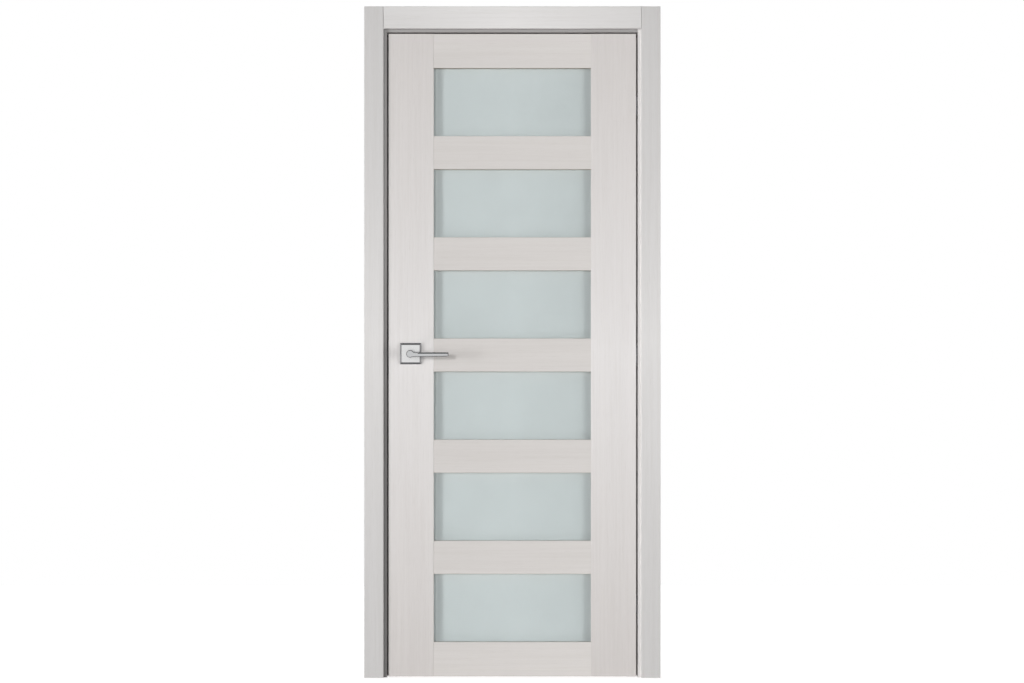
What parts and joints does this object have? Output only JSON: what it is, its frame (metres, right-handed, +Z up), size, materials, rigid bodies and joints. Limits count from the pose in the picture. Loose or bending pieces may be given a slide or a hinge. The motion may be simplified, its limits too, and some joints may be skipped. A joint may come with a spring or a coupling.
{
  "type": "glazed interior door",
  "caption": "Interior doorset with pale flat casings, a leaf of wide stiles and rails around frosted lites, concealed hinges and a square-rosette lever handle.",
  "frame": {"origin": "on the wall-side face of the hinge jamb (the right one seen from the pull side, as in the picture), at floor level and mid jamb depth", "axes": "+X from the lock jamb towards the hinge jamb and out of its wall face, +Y away from the side the leaf opens towards, which is the pictured side, +Z up"},
  "size_m": [0.936, 0.162, 2.121],
  "materials": {
    "jamb_finish": "pale ash laminate, matt",
    "casing_finish": "pale ash laminate, matt",
    "stile_finish": "pale ash laminate, grain upright, matt",
    "rail_finish": "pale ash laminate, grain level, matt",
    "frosted_glass": "satin etched",
    "seal_rubber": "matt",
    "hinge_steel": "satin",
    "lock_steel": "satin",
    "handle_chrome": "satin to polished"
  },
  "bodies": {
    "frame": {"jamb_hinge_side": "jamb_finish", "jamb_lock_side": "jamb_finish", "jamb_head": "jamb_finish", "seal_hinge_side": "seal_rubber", "seal_lock_side": "seal_rubber", "seal_head": "seal_rubber", "casing_front_hinge_side": "casing_finish", "casing_front_lock_side": "casing_finish", "casing_front_head": "casing_finish", "casing_back_hinge_side": "casing_finish", "casing_back_lock_side": "casing_finish", "casing_back_head": "casing_finish", "strike_plate": "lock_steel", "hinge_frame_half_1": "hinge_steel", "hinge_frame_half_2": "hinge_steel", "hinge_frame_half_3": "hinge_steel"},
    "leaf": {"stile_lock_side": "stile_finish", "stile_hinge_side": "stile_finish", "rail_1": "rail_finish", "rail_2": "rail_finish", "rail_3": "rail_finish", "rail_4": "rail_finish", "rail_5": "rail_finish", "rail_6": "rail_finish", "rail_7": "rail_finish", "glass_1": "frosted_glass", "glass_2": "frosted_glass", "glass_3": "frosted_glass", "glass_4": "frosted_glass", "glass_5": "frosted_glass", "glass_6": "frosted_glass", "hinge_leaf_half_1": "hinge_steel", "hinge_leaf_half_2": "hinge_steel", "hinge_leaf_half_3": "hinge_steel", "lock_body": "lock_steel", "latch_bolt": "lock_steel", "rosette_front": "handle_chrome", "rosette_back": "handle_chrome"},
    "lever": {"lever_front": "handle_chrome", "lever_back": "handle_chrome", "spindle": "lock_steel"}
  },
  "joints": [
    {"name": "leaf_swing", "type": "hinge", "parent": "frame", "child": "leaf", "pos_m": [-0.029, -0.0375, 0], "axis": [0, 0, 1], "range_deg": [0, 115]},
    {"name": "lever_turn", "type": "hinge", "parent": "leaf", "child": "lever", "pos_m": [-0.742, -0.0175, 1.024], "axis": [0, 1, 0], "range_deg": [0, 40], "stiffness_Nm_per_rad": 1.2, "springref_deg": -20.05}
  ]
}
